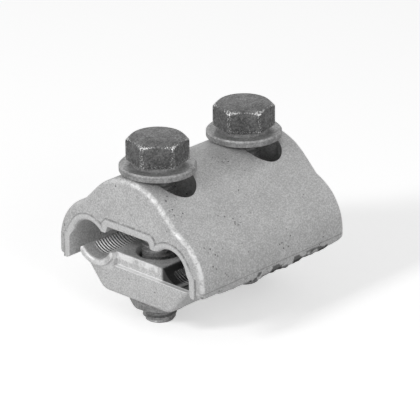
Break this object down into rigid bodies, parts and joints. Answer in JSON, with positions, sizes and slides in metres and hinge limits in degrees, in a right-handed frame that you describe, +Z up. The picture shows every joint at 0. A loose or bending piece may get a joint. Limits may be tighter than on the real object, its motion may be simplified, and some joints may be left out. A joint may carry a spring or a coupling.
{
  "type": "parallel groove clamp",
  "caption": "Cast aluminium clamp that joins two parallel overhead-line conductors between a humped upper keeper and a nested lower keeper, tightened by hex bolts.",
  "frame": {"origin": "midway between the two bolts, level with their tips", "axes": "+X along the conductors, +Y across the two grooves, +Z up the bolts towards their heads"},
  "size_m": [0.062, 0.0576, 0.0566],
  "materials": {
    "cast_body": "blasted casting, matte",
    "cast_jaw": "blasted casting, matte",
    "bolt_steel": "dull galvanised",
    "washer_steel": "dull galvanised",
    "nut_steel": "dull galvanised"
  },
  "bodies": {
    "lower_jaw": {"lower_keeper": "cast_jaw", "nut_front": "nut_steel", "nut_rear": "nut_steel"},
    "washers": {"washer_front": "washer_steel", "washer_rear": "washer_steel"},
    "cover": {"upper_keeper": "cast_body"},
    "front_bolt": {"bolt_front": "bolt_steel"},
    "rear_bolt": {"bolt_rear": "bolt_steel"}
  },
  "joints": [
    {"name": "clamping_travel", "type": "slide", "parent": "lower_jaw", "child": "washers", "axis": [0, 0, -1], "range_m": [-0.003, 0.00413]},
    {"name": "cover_rock", "type": "hinge", "parent": "washers", "child": "cover", "pos_m": [0, 0, 0.0274], "axis": [1, 0, 0], "range_deg": [-4, 4]},
    {"name": "front_bolt_turn", "type": "hinge", "parent": "washers", "child": "front_bolt", "pos_m": [-0.01825, 0, 0], "axis": [0, 0, -1], "range_deg": [-721, 991]},
    {"name": "rear_bolt_turn", "type": "hinge", "parent": "washers", "child": "rear_bolt", "pos_m": [0.01825, 0, 0], "axis": [0, 0, -1], "range_deg": [-721, 991]}
  ],
  "couplings": [
    {"joint": "front_bolt_turn", "follows": "clamping_travel", "rad_per_m": 4188.8},
    {"joint": "rear_bolt_turn", "follows": "clamping_travel", "rad_per_m": 4188.8}
  ]
}
